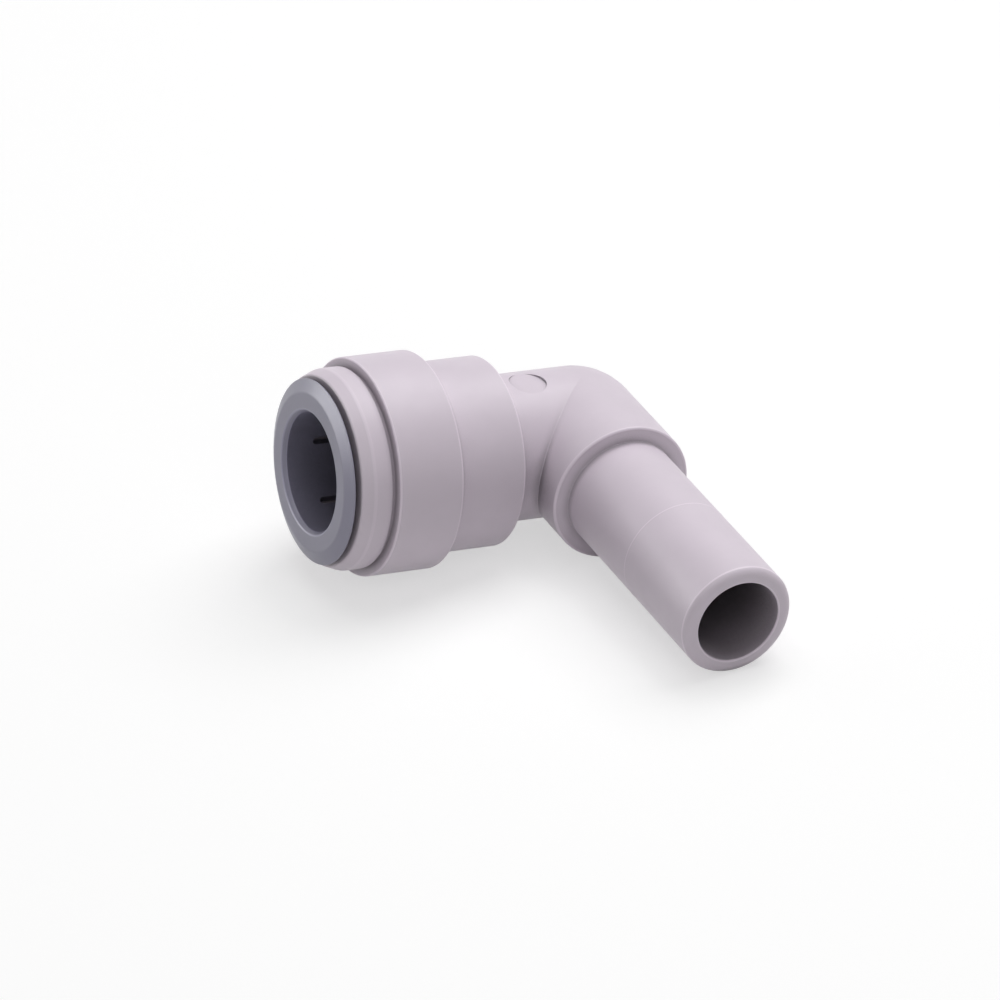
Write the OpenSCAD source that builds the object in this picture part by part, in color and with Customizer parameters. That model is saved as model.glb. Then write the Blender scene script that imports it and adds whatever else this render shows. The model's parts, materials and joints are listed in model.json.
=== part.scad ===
// Push-in stem elbow: a tube socket with a gripping collet on one leg and a plain
// stem of tube size on the other. All sizes are in millimetres.
// The elbow is drawn about the point where its two axes cross, then laid down on
// the three edges that it rests on. A station is a distance from that point along
// the socket or along the stem.

/* [Tube and bores] */
// Outside diameter of the tube that the socket takes
tube_d = 15; // [13:0.5:18]
// Radial play between the tube and the bores that guide it
tube_play = 0.15; // [0.1:0.01:0.25]
// Station of the stop that the tube's end meets
stop_station = 8.5; // [7:0.25:12]
// Length of the plain bore that holds the tube's end
seat_len = 9; // [6:0.5:14]
// Width of the ledge that stops the tube
stop_ledge = 1.25; // [0.8:0.05:1.8]

/* [Seal ring] */
// Thickness of the ring's round section
ring_section = 2.6; // [1.8:0.1:3]
// How far the ring stands inside the line of the tube bore
ring_bite = 0.2; // [0.1:0.02:0.25]
// Play round the ring and along it
ring_play = 0.1; // [0.05:0.01:0.2]

/* [Collet] */
// Wall of the sleeve
sleeve_wall = 1.1; // [0.8:0.05:1.5]
// Room between the seal ring and the end of a collet that is pushed in
release_room = 0.6; // [0.3:0.1:1.5]
// How far the finger heads stand out from the sleeve
head_lift = 1.35; // [0.9:0.05:1.8]
// Length of a finger head behind its cone
head_len = 3; // [2.4:0.1:4]
// Bevel on the end of a finger head
head_bevel = 0.4; // [0.2:0.05:0.6]
// Slope of the cones on the heads and in the cap, from the axis
cone_slope = 20; // [15:1:26]
// Travel of the collet from pushed in to fully out
travel = 2.5; // [1:0.1:3]
// How far out of pushed in the collet stands as drawn
rest_out = 0.55; // [0:0.05:0.9]
// Space left between the two cones when the collet is fully out
cone_space = 0.12; // [0.08:0.01:0.18]
// Width of the slits between the fingers
slit_w = 1; // [0.6:0.1:1.6]
// Distance from the collet's face to the round ends of the slits
slit_start = 4.2; // [3.5:0.1:6]
// Turn of the collet about its axis
collet_turn = 32.4; // [0:0.1:60]
// How far the flange stands out from the sleeve
flange_lift = 3.15; // [2.6:0.05:3.5]
// Thickness of the flange at the mouth
flange_thick = 0.85; // [0.7:0.05:1.6]
// Height of the flange's straight edge, below its bevel
flange_edge = 0.1; // [0.05:0.05:0.5]
// Width of the flat ring on the collet's face
face_w = 2.15; // [1.2:0.05:2.6]
// How much wider the bore is at its mouth
lead_in = 0.4; // [0.2:0.05:0.7]
// Length of the taper that opens the bore at its mouth
lead_len = 1.2; // [0.3:0.1:2.5]

/* [Grip teeth] */
// Thickness of a tooth plate
tooth_thick = 0.4; // [0.3:0.05:0.6]
// Radial depth of a tooth plate
tooth_depth = 1.75; // [1.2:0.05:2]
// Arc that a tooth plate covers
tooth_arc = 38; // [20:1:44]
// Lean of a tooth away from square, so that it bites when the tube is pulled
tooth_lean = 35; // [15:1:40]
// How far a tooth's edge stands inside the line of the tube bore
tooth_bite = 0.2; // [0.1:0.02:0.25]

/* [End cap] */
// Radial play between the sleeve and the cap's bore
slide_play = 0.3; // [0.2:0.05:0.5]
// Radial play round the finger heads
head_play = 0.35; // [0.25:0.05:0.5]
// Straight lip behind the cap's cone
lip_len = 1.2; // [0.6:0.1:2]
// Wall of the cap's spigot
spigot_wall = 1.2; // [0.9:0.05:1.6]
// How far the nose stands out over the spigot, to sit on the mouth
nose_lip = 1.25; // [0.7:0.05:1.6]
// Length of the nose in front of the mouth
nose_len = 4.55; // [3:0.05:7]
// Length of the slope on the nose
slope_len = 1.25; // [0.8:0.05:2.5]
// Fall of the slope on the nose
slope_fall = 0.65; // [0.3:0.05:1.2]
// Width of the groove at the nose's foot
foot_w = 0.5; // [0.2:0.1:0.8]
// Depth of the groove at the nose's foot
foot_depth = 0.45; // [0.2:0.05:0.6]
// Play round the spigot in its pocket
joint_play = 0.05; // [0.02:0.01:0.1]
// Space between the spigot's end and the floor of its pocket
spigot_space = 0.25; // [0.1:0.05:0.4]
// Line of space between the nose and the flange of a pushed-in collet
flange_space = 0.15; // [0.1:0.05:0.4]

/* [Body] */
// Wall of the wide collar, over the cap's spigot
collar_wall = 2.3; // [1.5:0.1:3]
// Length of the wide collar
collar_len = 8.9; // [7:0.1:12]
// Floor of material behind the cap's pocket
pocket_floor = 1.7; // [1:0.1:3]
// Wall of the barrel, over the seal chamber
barrel_wall = 1.8; // [1.4:0.1:2.6]
// Floor of material behind the seal ring
ring_floor = 4.5; // [2:0.25:5.5]
// Wall of the elbow, over the tube's seat
elbow_wall = 1.85; // [1.5:0.05:2.5]
// Rounding of the outer edges
edge_r = 0.35; // [0.1:0.05:0.5]
// Diameter of the round gate recess on top of the elbow
gate_d = 4.9; // [3:0.1:6]
// Depth of the gate recess
gate_depth = 0.4; // [0.2:0.05:0.7]
// Distance from the gate recess to the barrel
gate_off = 2.65; // [1:0.05:4]

/* [Stem] */
// Outside diameter of the stem
stem_d = 15; // [13:0.5:17]
// Wall of the stem
stem_wall = 1.95; // [1.5:0.05:2.6]
// Station of the shoulder where the stem begins
boss_station = 13.9; // [11:0.1:20]
// Length of the stem from the shoulder to its tip
stem_len = 32.3; // [24:0.1:42]
// Length of the rounding at the tip
tip_len = 0.8; // [0.4:0.1:1.5]
// Fall of the rounding at the tip
tip_fall = 1.15; // [0.4:0.05:1.3]
// Slope at which the rounding leaves the stem
tip_slope = 20; // [5:1:40]
// Break of the waterway's edge at the tip
rim_break = 0.2; // [0.1:0.05:0.4]

/* [Hidden] */
finger_count = 6;
$fn = 120;
body_grey = [0.85, 0.81, 0.85];
collet_grey = [0.56, 0.57, 0.64];
seal_black = [0.09, 0.09, 0.1];
steel_grey = [0.76, 0.77, 0.78];
// Reach of a cutting shape past the solid that it cuts
over = 1;
// Straight steps in one rounded edge
edge_steps = 4;

// Radii of the socket, from the tube outwards
bore_r = tube_d / 2 + tube_play;
sleeve_r = bore_r + sleeve_wall;
head_r = sleeve_r + head_lift;
cap_bore_r = sleeve_r + slide_play;
chamber_r = head_r + head_play;
spigot_r = chamber_r + spigot_wall;
pocket_r = spigot_r + joint_play;
nose_r = spigot_r + nose_lip;
nose_face_r = nose_r - slope_fall;
foot_r = nose_r - foot_depth;
collar_r = pocket_r + collar_wall;
ring_inner_r = bore_r - ring_bite;
groove_r = ring_inner_r + ring_section + ring_play;
seal_chamber_r = max(groove_r, chamber_r);
barrel_r = seal_chamber_r + barrel_wall;
elbow_r = bore_r + elbow_wall;
mouth_r = bore_r + lead_in;
face_r = mouth_r + face_w;
flange_r = sleeve_r + flange_lift;
neck_water_r = bore_r - stop_ledge;
tooth_tip_r = bore_r - tooth_bite;

// Radii of the stem
stem_r = stem_d / 2;
water_r = stem_r - stem_wall;
tip_face_r = stem_r - tip_fall;

// Stations of the socket, from the stop outwards, with the collet pushed in
ring_station = stop_station + seat_len;
ring_front = ring_station + ring_section + 2 * ring_play;
collet_end = ring_front + release_room;
head_front = collet_end + head_len;
cone_front = head_front + head_lift / tan(cone_slope);
// How far the head's cone passes the cap's, along the axis, when the collet is out
cone_pass = (slide_play - cone_space / cos(cone_slope)) / tan(cone_slope);
cap_cone_front = cone_front + travel - cone_pass;
cap_cone_back = cap_cone_front - (chamber_r - cap_bore_r) / tan(cone_slope);
spigot_end = cap_cone_back - lip_len;
pocket_end = spigot_end - spigot_space;
barrel_back = ring_station - ring_floor;
collar_back = pocket_end - pocket_floor;
mouth_station = collar_back + collar_len;
nose_station = mouth_station + nose_len;
flange_back = nose_station + flange_space;
face_station = flange_back + flange_thick;
tooth_station = collet_end + head_len / 2 - tooth_depth * tan(tooth_lean) / 2;
gate_station = barrel_back - gate_off - gate_d / 2;

// Stations of the stem
tip_station = boss_station + stem_len;
tip_edge = tip_station - tip_len;

// How the elbow lies: on the shoulder's edge, on the tip's edge and on the lowest
// edge of the socket
stem_dip = atan((elbow_r - stem_r) / (tip_edge - boss_station));
centre_h = boss_station * sin(stem_dip) + elbow_r * cos(stem_dip);
function lift_for(r, s) = acos(centre_h / norm([r, s])) - atan2(s, r);
mouth_lift = max(lift_for(collar_r, collar_back), lift_for(barrel_r, barrel_back));
stem_roll = asin(sin(stem_dip) / cos(mouth_lift));
// Half-way between the farthest points of the laid-down elbow
reach_mouth = (face_station + rest_out) * cos(mouth_lift) + face_r * sin(mouth_lift);
reach_tip = tip_station * cos(stem_roll) + tip_face_r * sin(stem_roll);
centre_x = (reach_mouth - elbow_r) / 2;
centre_y = (reach_tip - collar_r) / 2;

// Points of a rounded corner of radius r about [x, y], from one direction to another
function corner(x, y, r, from, to) = [
    for (i = [0:edge_steps])
        let (a = from + (to - from) * i / edge_steps)
        [x + r * cos(a), y + r * sin(a)]
];

// Points of the rounding at the stem's tip, which runs out into the flat end
function tip_rounding() = [
    for (i = [0:edge_steps])
        let (a = tip_slope + (90 - tip_slope) * i / edge_steps)
        let (inwards = 1 - cos(a) / cos(tip_slope))
        let (along = (sin(a) - sin(tip_slope)) / (1 - sin(tip_slope)))
        [stem_r - tip_fall * inwards, tip_edge + tip_len * along]
];

// Lays the elbow down as it comes to rest, over the middle of its own footprint
module lay_down() {
    translate([centre_x, centre_y, centre_h])
        rotate([stem_roll, mouth_lift, 0])
            children();
}

// Turns a shape drawn about +Z so that its heights become stations of the socket
module along_socket() {
    rotate([0, -90, 0])
        children();
}

// Turns a shape drawn about +Z so that its heights become stations of the stem
module along_stem() {
    rotate([90, 0, 0])
        children();
}

// Outside of the socket leg: neck, barrel and wide collar
module socket_outside() {
    rotate_extrude()
        polygon(concat(
            [[0, 0], [elbow_r, 0], [elbow_r, barrel_back]],
            corner(barrel_r - edge_r, barrel_back + edge_r, edge_r, -90, 0),
            [[barrel_r, collar_back]],
            corner(collar_r - edge_r, collar_back + edge_r, edge_r, -90, 0),
            corner(collar_r - edge_r, mouth_station - edge_r, edge_r, 0, 90),
            [[0, mouth_station]]
        ));
}

// Inside of the socket leg: waterway, tube seat, seal chamber and cap pocket
module socket_inside() {
    rotate_extrude()
        polygon([
            [0, 0],
            [neck_water_r, 0],
            [neck_water_r, stop_station],
            [bore_r, stop_station],
            [bore_r, ring_station],
            [groove_r, ring_station],
            [groove_r, ring_front],
            [seal_chamber_r, collet_end],
            [seal_chamber_r, pocket_end],
            [pocket_r, pocket_end],
            [pocket_r, mouth_station + over],
            [0, mouth_station + over]
        ]);
}

// Outside of the stem leg: boss with its flat shoulder, then the stem
module stem_outside() {
    rotate_extrude()
        polygon(concat(
            [[0, 0], [elbow_r, 0]],
            corner(elbow_r - edge_r, boss_station - edge_r, edge_r, 0, 90),
            [[stem_r, boss_station]],
            tip_rounding(),
            [[0, tip_station]]
        ));
}

// Waterway of the stem leg, with its broken edge at the tip
module stem_inside() {
    rotate_extrude()
        polygon([
            [0, 0],
            [water_r, 0],
            [water_r, tip_station - rim_break],
            [water_r + rim_break + over, tip_station + over],
            [0, tip_station + over]
        ]);
}

module elbow_body() {
    color(body_grey)
        lay_down()
            difference() {
                union() {
                    along_socket() socket_outside();
                    along_stem() stem_outside();
                    sphere(r = elbow_r);
                }
                along_socket() socket_inside();
                along_stem() stem_inside();
                sphere(r = neck_water_r);
                // Gate recess
                translate([-gate_station, 0, elbow_r - gate_depth])
                    cylinder(d = gate_d, h = gate_depth + over);
            }
}

module end_cap() {
    slope = atan(slope_fall / slope_len);
    edge_x = nose_face_r - edge_r * (1 - sin(slope)) / cos(slope);
    color(body_grey)
        lay_down()
            along_socket()
                rotate_extrude()
                    polygon(concat(
                        [
                            [chamber_r, spigot_end],
                            [spigot_r, spigot_end],
                            [spigot_r, mouth_station],
                            [foot_r, mouth_station],
                            [foot_r, mouth_station + foot_w],
                            [nose_r, mouth_station + foot_w],
                            [nose_r, nose_station - slope_len]
                        ],
                        corner(edge_x, nose_station - edge_r, edge_r, slope, 90),
                        [
                            [cap_bore_r, nose_station],
                            [cap_bore_r, cap_cone_front],
                            [chamber_r, cap_cone_back]
                        ]
                    ));
}

// Turned shape of the collet, before it is slit
module collet_blank() {
    rotate_extrude()
        polygon([
            [bore_r, collet_end],
            [head_r - head_bevel, collet_end],
            [head_r, collet_end + head_bevel],
            [head_r, head_front],
            [sleeve_r, cone_front],
            [sleeve_r, flange_back],
            [flange_r, flange_back],
            [flange_r, flange_back + flange_edge],
            [face_r, face_station],
            [mouth_r, face_station],
            [bore_r, face_station - lead_len]
        ]);
}

// One slit with a round end, cut from the fingers' end
module slit() {
    slit_top = face_station - slit_start - slit_w / 2;
    translate([0, -slit_w / 2, collet_end - over])
        cube([head_r + over, slit_w, slit_top - collet_end + over]);
    translate([0, 0, slit_top])
        rotate([0, 90, 0])
            cylinder(d = slit_w, h = head_r + over, $fn = 32);
}

// One tooth plate: part of a cone, leaning towards the stop
module tooth_plate() {
    rise = tooth_depth * tan(tooth_lean);
    rotate([0, 0, -tooth_arc / 2])
        rotate_extrude(angle = tooth_arc)
            polygon([
                [tooth_tip_r, tooth_station],
                [tooth_tip_r + tooth_depth, tooth_station + rise],
                [tooth_tip_r + tooth_depth, tooth_station + rise + tooth_thick],
                [tooth_tip_r, tooth_station + tooth_thick]
            ]);
}

// Turn of finger number i about the socket
function finger_turn(i) = collet_turn + (i - 0.5) * 360 / finger_count;

module collet() {
    color(collet_grey)
        lay_down()
            along_socket()
                translate([0, 0, rest_out])
                    difference() {
                        collet_blank();
                        for (i = [1:finger_count]) {
                            rotate([0, 0, collet_turn + i * 360 / finger_count]) slit();
                            rotate([0, 0, finger_turn(i)]) tooth_plate();
                        }
                    }
}

module seal_ring() {
    color(seal_black)
        lay_down()
            along_socket()
                translate([0, 0, ring_station + ring_play + ring_section / 2])
                    rotate_extrude()
                        translate([ring_inner_r + ring_section / 2, 0])
                            circle(d = ring_section);
}

module grip_tooth(i) {
    color(steel_grey)
        lay_down()
            along_socket()
                translate([0, 0, rest_out])
                    rotate([0, 0, finger_turn(i)])
                        tooth_plate();
}

elbow_body();
end_cap();
collet();
seal_ring();
grip_tooth(1);  // grip_tooth_1
grip_tooth(2);  // grip_tooth_2
grip_tooth(3);  // grip_tooth_3
grip_tooth(4);  // grip_tooth_4
grip_tooth(5);  // grip_tooth_5
grip_tooth(6);  // grip_tooth_6
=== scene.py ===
"""Dresses the push-fit stem elbow: its mouldings, collet, seal ring and teeth, on a pale floor.

Lengths are written in millimetres and stations are distances from the point where the two
axes of the elbow cross, as the moulder's drawing gives them. Blender's own units are metres.
A field whose name ends in _r is a radius, and one that ends in _edge or _foot is the rounding
of an outer or an inner edge.
"""

import json
import logging
import math
from collections.abc import Callable, Iterator, Sequence
from contextlib import contextmanager
from dataclasses import dataclass, replace
from enum import Enum, IntEnum
from functools import cached_property

import bmesh
import bpy
from mathutils import Matrix, Vector


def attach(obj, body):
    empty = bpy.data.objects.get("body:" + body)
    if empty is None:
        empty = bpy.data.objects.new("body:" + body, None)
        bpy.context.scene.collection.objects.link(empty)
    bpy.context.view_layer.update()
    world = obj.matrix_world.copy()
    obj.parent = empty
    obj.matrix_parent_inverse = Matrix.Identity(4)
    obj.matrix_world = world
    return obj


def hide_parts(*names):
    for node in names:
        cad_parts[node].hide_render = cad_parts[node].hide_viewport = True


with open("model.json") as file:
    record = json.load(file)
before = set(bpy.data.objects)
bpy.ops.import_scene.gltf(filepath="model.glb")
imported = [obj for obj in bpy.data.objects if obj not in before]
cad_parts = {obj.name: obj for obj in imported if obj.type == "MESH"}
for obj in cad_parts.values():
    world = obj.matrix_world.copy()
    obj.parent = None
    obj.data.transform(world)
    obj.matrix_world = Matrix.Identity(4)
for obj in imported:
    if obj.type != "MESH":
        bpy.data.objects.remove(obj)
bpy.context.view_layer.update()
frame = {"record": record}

LOG = logging.getLogger("stem_elbow")
MM = 0.001
FACETS = 192
NEAR = 1e-6
CUT_NEAR = 5 * NEAR
OVERRUN = 1.0

Piece = bpy.types.Object
Test = Callable[[object], bool]


def grey(level: float) -> tuple[float, float, float, float]:
    """A grey of one level, as a colour."""
    return (level, level, level, 1.0)


class Leg(Enum):
    """The two legs of the elbow."""

    SOCKET = "tube_socket"
    STEM = "stem"


class Body(Enum):
    """The bodies that the pieces ride on."""

    FITTING = "fitting"
    GRIPPER = "gripper"


class Coat(Enum):
    """A piece's material slots: its broad faces, and its rounded rims, whose paler colour is a
    painted highlight.
    """

    BROAD = 0
    RIM = 1


class Steps(IntEnum):
    """Steps in a rounding, by how much of it shows."""

    TINY = 2
    SMALL = 3
    PLAIN = 4
    FINE = 5


@dataclass(frozen=True)
class Ring:
    """One ring of a turned profile.

    Args:
        station: Distance along the leg, in millimetres.
        radius: Radius of the ring, in millimetres.
        rounding: Width of the rounding that the edge gets on either side, in millimetres.
        steps: Steps in that rounding.
        coat: The slot that the rounding's faces get.
    """

    station: float
    radius: float
    rounding: float = 0.0
    steps: int = Steps.PLAIN
    coat: Coat = Coat.BROAD


class Layout:
    """Where the elbow lies in the frame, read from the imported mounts."""

    def __init__(self, record: dict) -> None:
        """Finds the crossing point of the two axes.

        Args:
            record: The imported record, whose mounts give both axes.
        """
        mounts = {m["name"]: m for m in record["mounts"]}
        place = {leg: Vector(mounts[leg.value]["pos_m"]) for leg in Leg}
        way = {leg: Vector(mounts[leg.value]["axis"]).normalized() for leg in Leg}
        gap = place[Leg.STEM] - place[Leg.SOCKET]
        reach = gap.dot(way[Leg.SOCKET])
        self.crossing: Vector = place[Leg.SOCKET] + way[Leg.SOCKET] * reach
        self.forward: dict[Leg, Vector] = way

    def lie_down(self, piece: Piece) -> None:
        """Moves a piece from the elbow's own axes to where it lies, in its mesh.

        Args:
            piece: The piece, shaped about the crossing of the axes.
        """
        x, y = -self.forward[Leg.SOCKET], -self.forward[Leg.STEM]
        place = Matrix((x, y, x.cross(y))).transposed().to_4x4()
        place.translation = self.crossing
        Bench.set_down(piece, place)


class Bench:
    """The bench: Blender's own tools, each with nothing else in hand."""

    @staticmethod
    def take(*pieces: Piece) -> None:
        """Selects pieces and nothing else.

        Args:
            pieces: The pieces, the last of which becomes the active one.
        """
        bpy.ops.object.select_all(action="DESELECT")
        for piece in pieces:
            piece.select_set(True)
        bpy.context.view_layer.objects.active = pieces[-1]

    @staticmethod
    @contextmanager
    def editing(piece: Piece) -> Iterator[None]:
        """Opens a piece in edit mode with nothing selected, and closes it again.

        Args:
            piece: The piece to open.

        Yields:
            Nothing, while the piece is open.
        """
        Bench.take(piece)
        bpy.ops.object.mode_set(mode="EDIT")
        bpy.ops.mesh.select_all(action="DESELECT")
        yield
        bpy.ops.object.mode_set(mode="OBJECT")

    @staticmethod
    def pick(piece: Piece, kind: str, test: Test) -> int:
        """Selects the vertices, edges or faces of an open piece that pass a test.

        Args:
            piece: The piece in edit mode.
            kind: VERT, EDGE or FACE.
            test: What an element has to pass.

        Returns:
            How many elements passed.
        """
        bpy.ops.mesh.select_mode(type=kind)
        bpy.ops.mesh.select_all(action="DESELECT")
        mesh = bmesh.from_edit_mesh(piece.data)
        elements = {"VERT": mesh.verts, "EDGE": mesh.edges, "FACE": mesh.faces}[kind]
        chosen = [e for e in elements if test(e)]
        for element in chosen:
            element.select_set(True)
        mesh.select_flush_mode()
        bmesh.update_edit_mesh(piece.data)
        return len(chosen)

    @staticmethod
    def open_slots(piece: Piece) -> None:
        """Opens one slot a coat, each with a blank of its own that keeps it apart in a join.

        Args:
            piece: The piece that gets the slots that it lacks.
        """
        slots = piece.data.materials
        for coat in list(Coat)[len(slots) :]:
            blanks = bpy.data.materials
            slots.append(blanks.get(coat.name) or blanks.new(coat.name))

    @staticmethod
    def close_up(piece: Piece) -> None:
        """Merges doubles and points all faces outwards.

        Args:
            piece: The piece to close up.
        """
        with Bench.editing(piece):
            bpy.ops.mesh.select_all(action="SELECT")
            bpy.ops.mesh.remove_doubles(threshold=NEAR)
            bpy.ops.mesh.normals_make_consistent(inside=False)

    @staticmethod
    def settle() -> None:
        """Applies the place of the selected pieces to their meshes."""
        bpy.ops.object.transform_apply(location=True, rotation=True, scale=True)

    @staticmethod
    def bevel(width: float, steps: int, coat: Coat = Coat.BROAD, *, clamp: bool = False) -> None:
        """Rounds the selected edges of the open piece.

        Args:
            width: Width of the rounding on either side, in millimetres.
            steps: Steps in the rounding.
            coat: The slot that its faces get.
            clamp: Whether it stops where roundings meet.
        """
        bpy.ops.mesh.bevel(
            offset=width * MM,
            segments=steps,
            profile=0.5,
            clamp_overlap=clamp,
            material=coat.value,
        )

    @staticmethod
    def set_down(piece: Piece, place: Matrix) -> None:
        """Moves a piece and applies the move to its mesh.

        Args:
            piece: The piece to move.
            place: The move.
        """
        piece.matrix_world = place
        Bench.take(piece)
        Bench.settle()

    @staticmethod
    def cut(piece: Piece, cutter: Piece) -> None:
        """Cuts one piece out of another and merges what it left double.

        Args:
            piece: The piece that is cut.
            cutter: The piece that cuts, which is thrown away.
        """
        Bench.take(piece)
        modifier = piece.modifiers.new("cut", "BOOLEAN")
        modifier.operation = "DIFFERENCE"
        modifier.solver = "EXACT"
        modifier.object = cutter
        bpy.ops.object.modifier_apply(modifier=modifier.name)
        bpy.data.objects.remove(cutter)
        Bench.close_up(piece)

    @staticmethod
    def copy(piece: Piece, name: str) -> Piece:
        """Copies a piece with a mesh of its own.

        Args:
            piece: The pattern.
            name: The copy's name.

        Returns:
            The copy.
        """
        twin = piece.copy()
        twin.data = piece.data.copy()
        twin.name = name
        bpy.context.scene.collection.objects.link(twin)
        return twin

    @staticmethod
    def smooth(piece: Piece, angle: float = 35.0) -> None:
        """Shades a piece smooth up to an angle, led by its large faces.

        Args:
            piece: The piece to shade.
            angle: Edges that turn by more than this many degrees stay sharp.
        """
        Bench.take(piece)
        bpy.ops.object.shade_smooth_by_angle(angle=math.radians(angle))
        modifier = piece.modifiers.new("even shading", "WEIGHTED_NORMAL")
        modifier.keep_sharp = True
        bpy.ops.object.modifier_apply(modifier=modifier.name)


class Lathe:
    """Turns profiles about +Z, with heights as stations."""

    @staticmethod
    def turn(
        name: str, rings: Sequence[Ring], *, endless: bool = False, open_ends: bool = False
    ) -> Piece:
        """Draws a profile out ring by ring, then rounds the rings that ask for it.

        Args:
            name: The piece's name.
            rings: The profile from its first ring to its last.
            endless: The last ring joins the first, as in a pipe's section.
            open_ends: The ends stay open.

        Returns:
            The turned piece, with its axis on the world's Z axis.
        """
        first = rings[0]
        following = list(rings[1:]) + ([first] if endless else [])
        bpy.ops.object.select_all(action="DESELECT")
        bpy.ops.mesh.primitive_circle_add(
            vertices=FACETS, radius=first.radius * MM, location=(0, 0, first.station * MM)
        )
        piece = bpy.context.object
        piece.name = piece.data.name = name
        Bench.open_slots(piece)
        Bench.settle()
        with Bench.editing(piece):
            bpy.ops.mesh.select_all(action="SELECT")
            last = first
            for ring in following:
                rise = (ring.station - last.station) * MM
                grow = ring.radius / last.radius
                bpy.ops.mesh.extrude_region_move(TRANSFORM_OT_translate={"value": (0, 0, rise)})
                bpy.ops.transform.resize(value=(grow, grow, 1), center_override=(0, 0, 0))
                last = ring
            if not endless and not open_ends:
                for end in (first, last):
                    Lathe.pick_ring(piece, end)
                    bpy.ops.mesh.edge_face_add()
        Bench.close_up(piece)
        Lathe.round_rings(piece, rings)
        return piece

    @staticmethod
    def pick_ring(piece: Piece, ring: Ring) -> int:
        """Selects the edges of one ring of an open piece.

        Args:
            piece: The turned piece in edit mode.
            ring: The ring.

        Returns:
            How many edges the ring has left.
        """
        height, radius = ring.station * MM, ring.radius * MM
        return Bench.pick(
            piece,
            "EDGE",
            lambda e: all(
                abs(v.co.z - height) < NEAR and abs(v.co.xy.length - radius) < NEAR for v in e.verts
            ),
        )

    @staticmethod
    def round_rings(piece: Piece, rings: Sequence[Ring]) -> None:
        """Rounds each ring that has a rounding.

        Args:
            piece: The turned piece.
            rings: Its profile.
        """
        with Bench.editing(piece):
            for ring in rings:
                if ring.rounding and Lathe.pick_ring(piece, ring):
                    Bench.bevel(ring.rounding, ring.steps, ring.coat)

    @staticmethod
    def lay_along(piece: Piece, leg: Leg) -> None:
        """Turns a piece from +Z onto one leg of the elbow's own axes.

        Args:
            piece: The piece, turned about +Z.
            leg: The leg that it belongs on.
        """
        columns = {
            Leg.SOCKET: ((0, 0, 1), (0, 1, 0), (-1, 0, 0)),
            Leg.STEM: ((1, 0, 0), (0, 0, 1), (0, -1, 0)),
        }[leg]
        Bench.set_down(piece, Matrix(columns).transposed().to_4x4())


@dataclass(frozen=True)
class PaintedShadeHollow:
    """A kind of hollow in which the colour is darkened as painted shade.

    Args:
        reach: How wide a hollow still counts, in millimetres.
        deepest: Share of open sky at which it is deepest.
        end: Share of open sky at which it ends.
        alone: Whether the piece's neighbours are left out.
    """

    reach: float
    deepest: float
    end: float
    alone: bool = False


# Painted shade: colour is darkened deep in bores and in tight corners, where shade falls, by ambient
# occlusion.
BORE_SHADE = PaintedShadeHollow(25.0, 0.12, 0.5, alone=True)
CORNER_SHADE = PaintedShadeHollow(1.2, 0.5, 0.95)


@dataclass(frozen=True)
class Finish:
    """A finish with its colour in linear light.

    Args:
        slot: The record's material slot.
        colour: Base colour, linear.
        roughness: Middle value of the surface's roughness.
        spread: How far the roughness wanders.
        rub: Size of the patches that the roughness wanders by, in millimetres.
        mottle: How far the colour wanders, as a share of it.
        drift: Size of the patches that the colour wanders by, in millimetres.
        grain: Size of the surface's grain, in millimetres.
        depth: Depth of the grain, in millimetres.
        rim_highlight: How much paler the rims are, as a share of the colour; a painted highlight.
        index: Refractive index, which sets how much it mirrors.
        bore_shade_left: Share of the colour that is left deep in a bore, as painted shade.
        corner_shade_left: Share of the colour that is left in a tight corner, as painted shade.
    """

    slot: str
    colour: tuple[float, float, float]
    roughness: float = 0.45
    spread: float = 0.06
    rub: float = 1.3
    mottle: float = 0.02
    drift: float = 6.0
    grain: float = 0.12
    depth: float = 0.004
    rim_highlight: float = 0.2
    index: float = 1.5
    bore_shade_left: float = 0.12
    corner_shade_left: float = 0.6

    def materials(self) -> dict[Coat, bpy.types.Material]:
        """Makes the finish as one material a coat, the rims paler by a painted highlight.

        Returns:
            The material of each coat.
        """
        made = {}
        for coat in Coat:
            made[coat] = bpy.data.materials.new(f"{self.slot}_{coat.name.lower()}")
            made[coat].use_nodes = True
            # Painted highlight: the rim coat's colour is raised by the rim lift.
            lift = 1 + self.rim_highlight * coat.value
            finish = replace(self, colour=tuple(min(1.0, c * lift) for c in self.colour))
            finish.weave(Recipe(made[coat]))
        return made

    def weave(self, recipe: "Recipe") -> None:
        """Adds the finish's own nodes.

        Args:
            recipe: The nodes of one material.
        """
        shade = recipe.shader
        pale = tuple(min(1.0, c * (1 + self.mottle)) for c in self.colour)
        deep = tuple(c * (1 - self.mottle) for c in self.colour)
        tint = recipe.blend(recipe.noise(self.drift, detail=3), deep, pale)
        # Painted shade: the colour is darkened in bores and tight corners by ambient occlusion.
        for hollow, left in ((BORE_SHADE, self.bore_shade_left), (CORNER_SHADE, self.corner_shade_left)):
            tint = recipe.scale(tint, recipe.painted_shade(hollow, left))
        recipe.link(tint, shade.inputs["Base Color"])
        shade.inputs["IOR"].default_value = self.index
        rub = recipe.noise(self.rub, detail=4)
        recipe.link(
            recipe.ramp(rub, self.roughness - self.spread, self.roughness + self.spread),
            shade.inputs["Roughness"],
        )
        recipe.link(
            recipe.bump([(recipe.noise(self.grain, detail=2), self.depth)]), shade.inputs["Normal"]
        )


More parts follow.
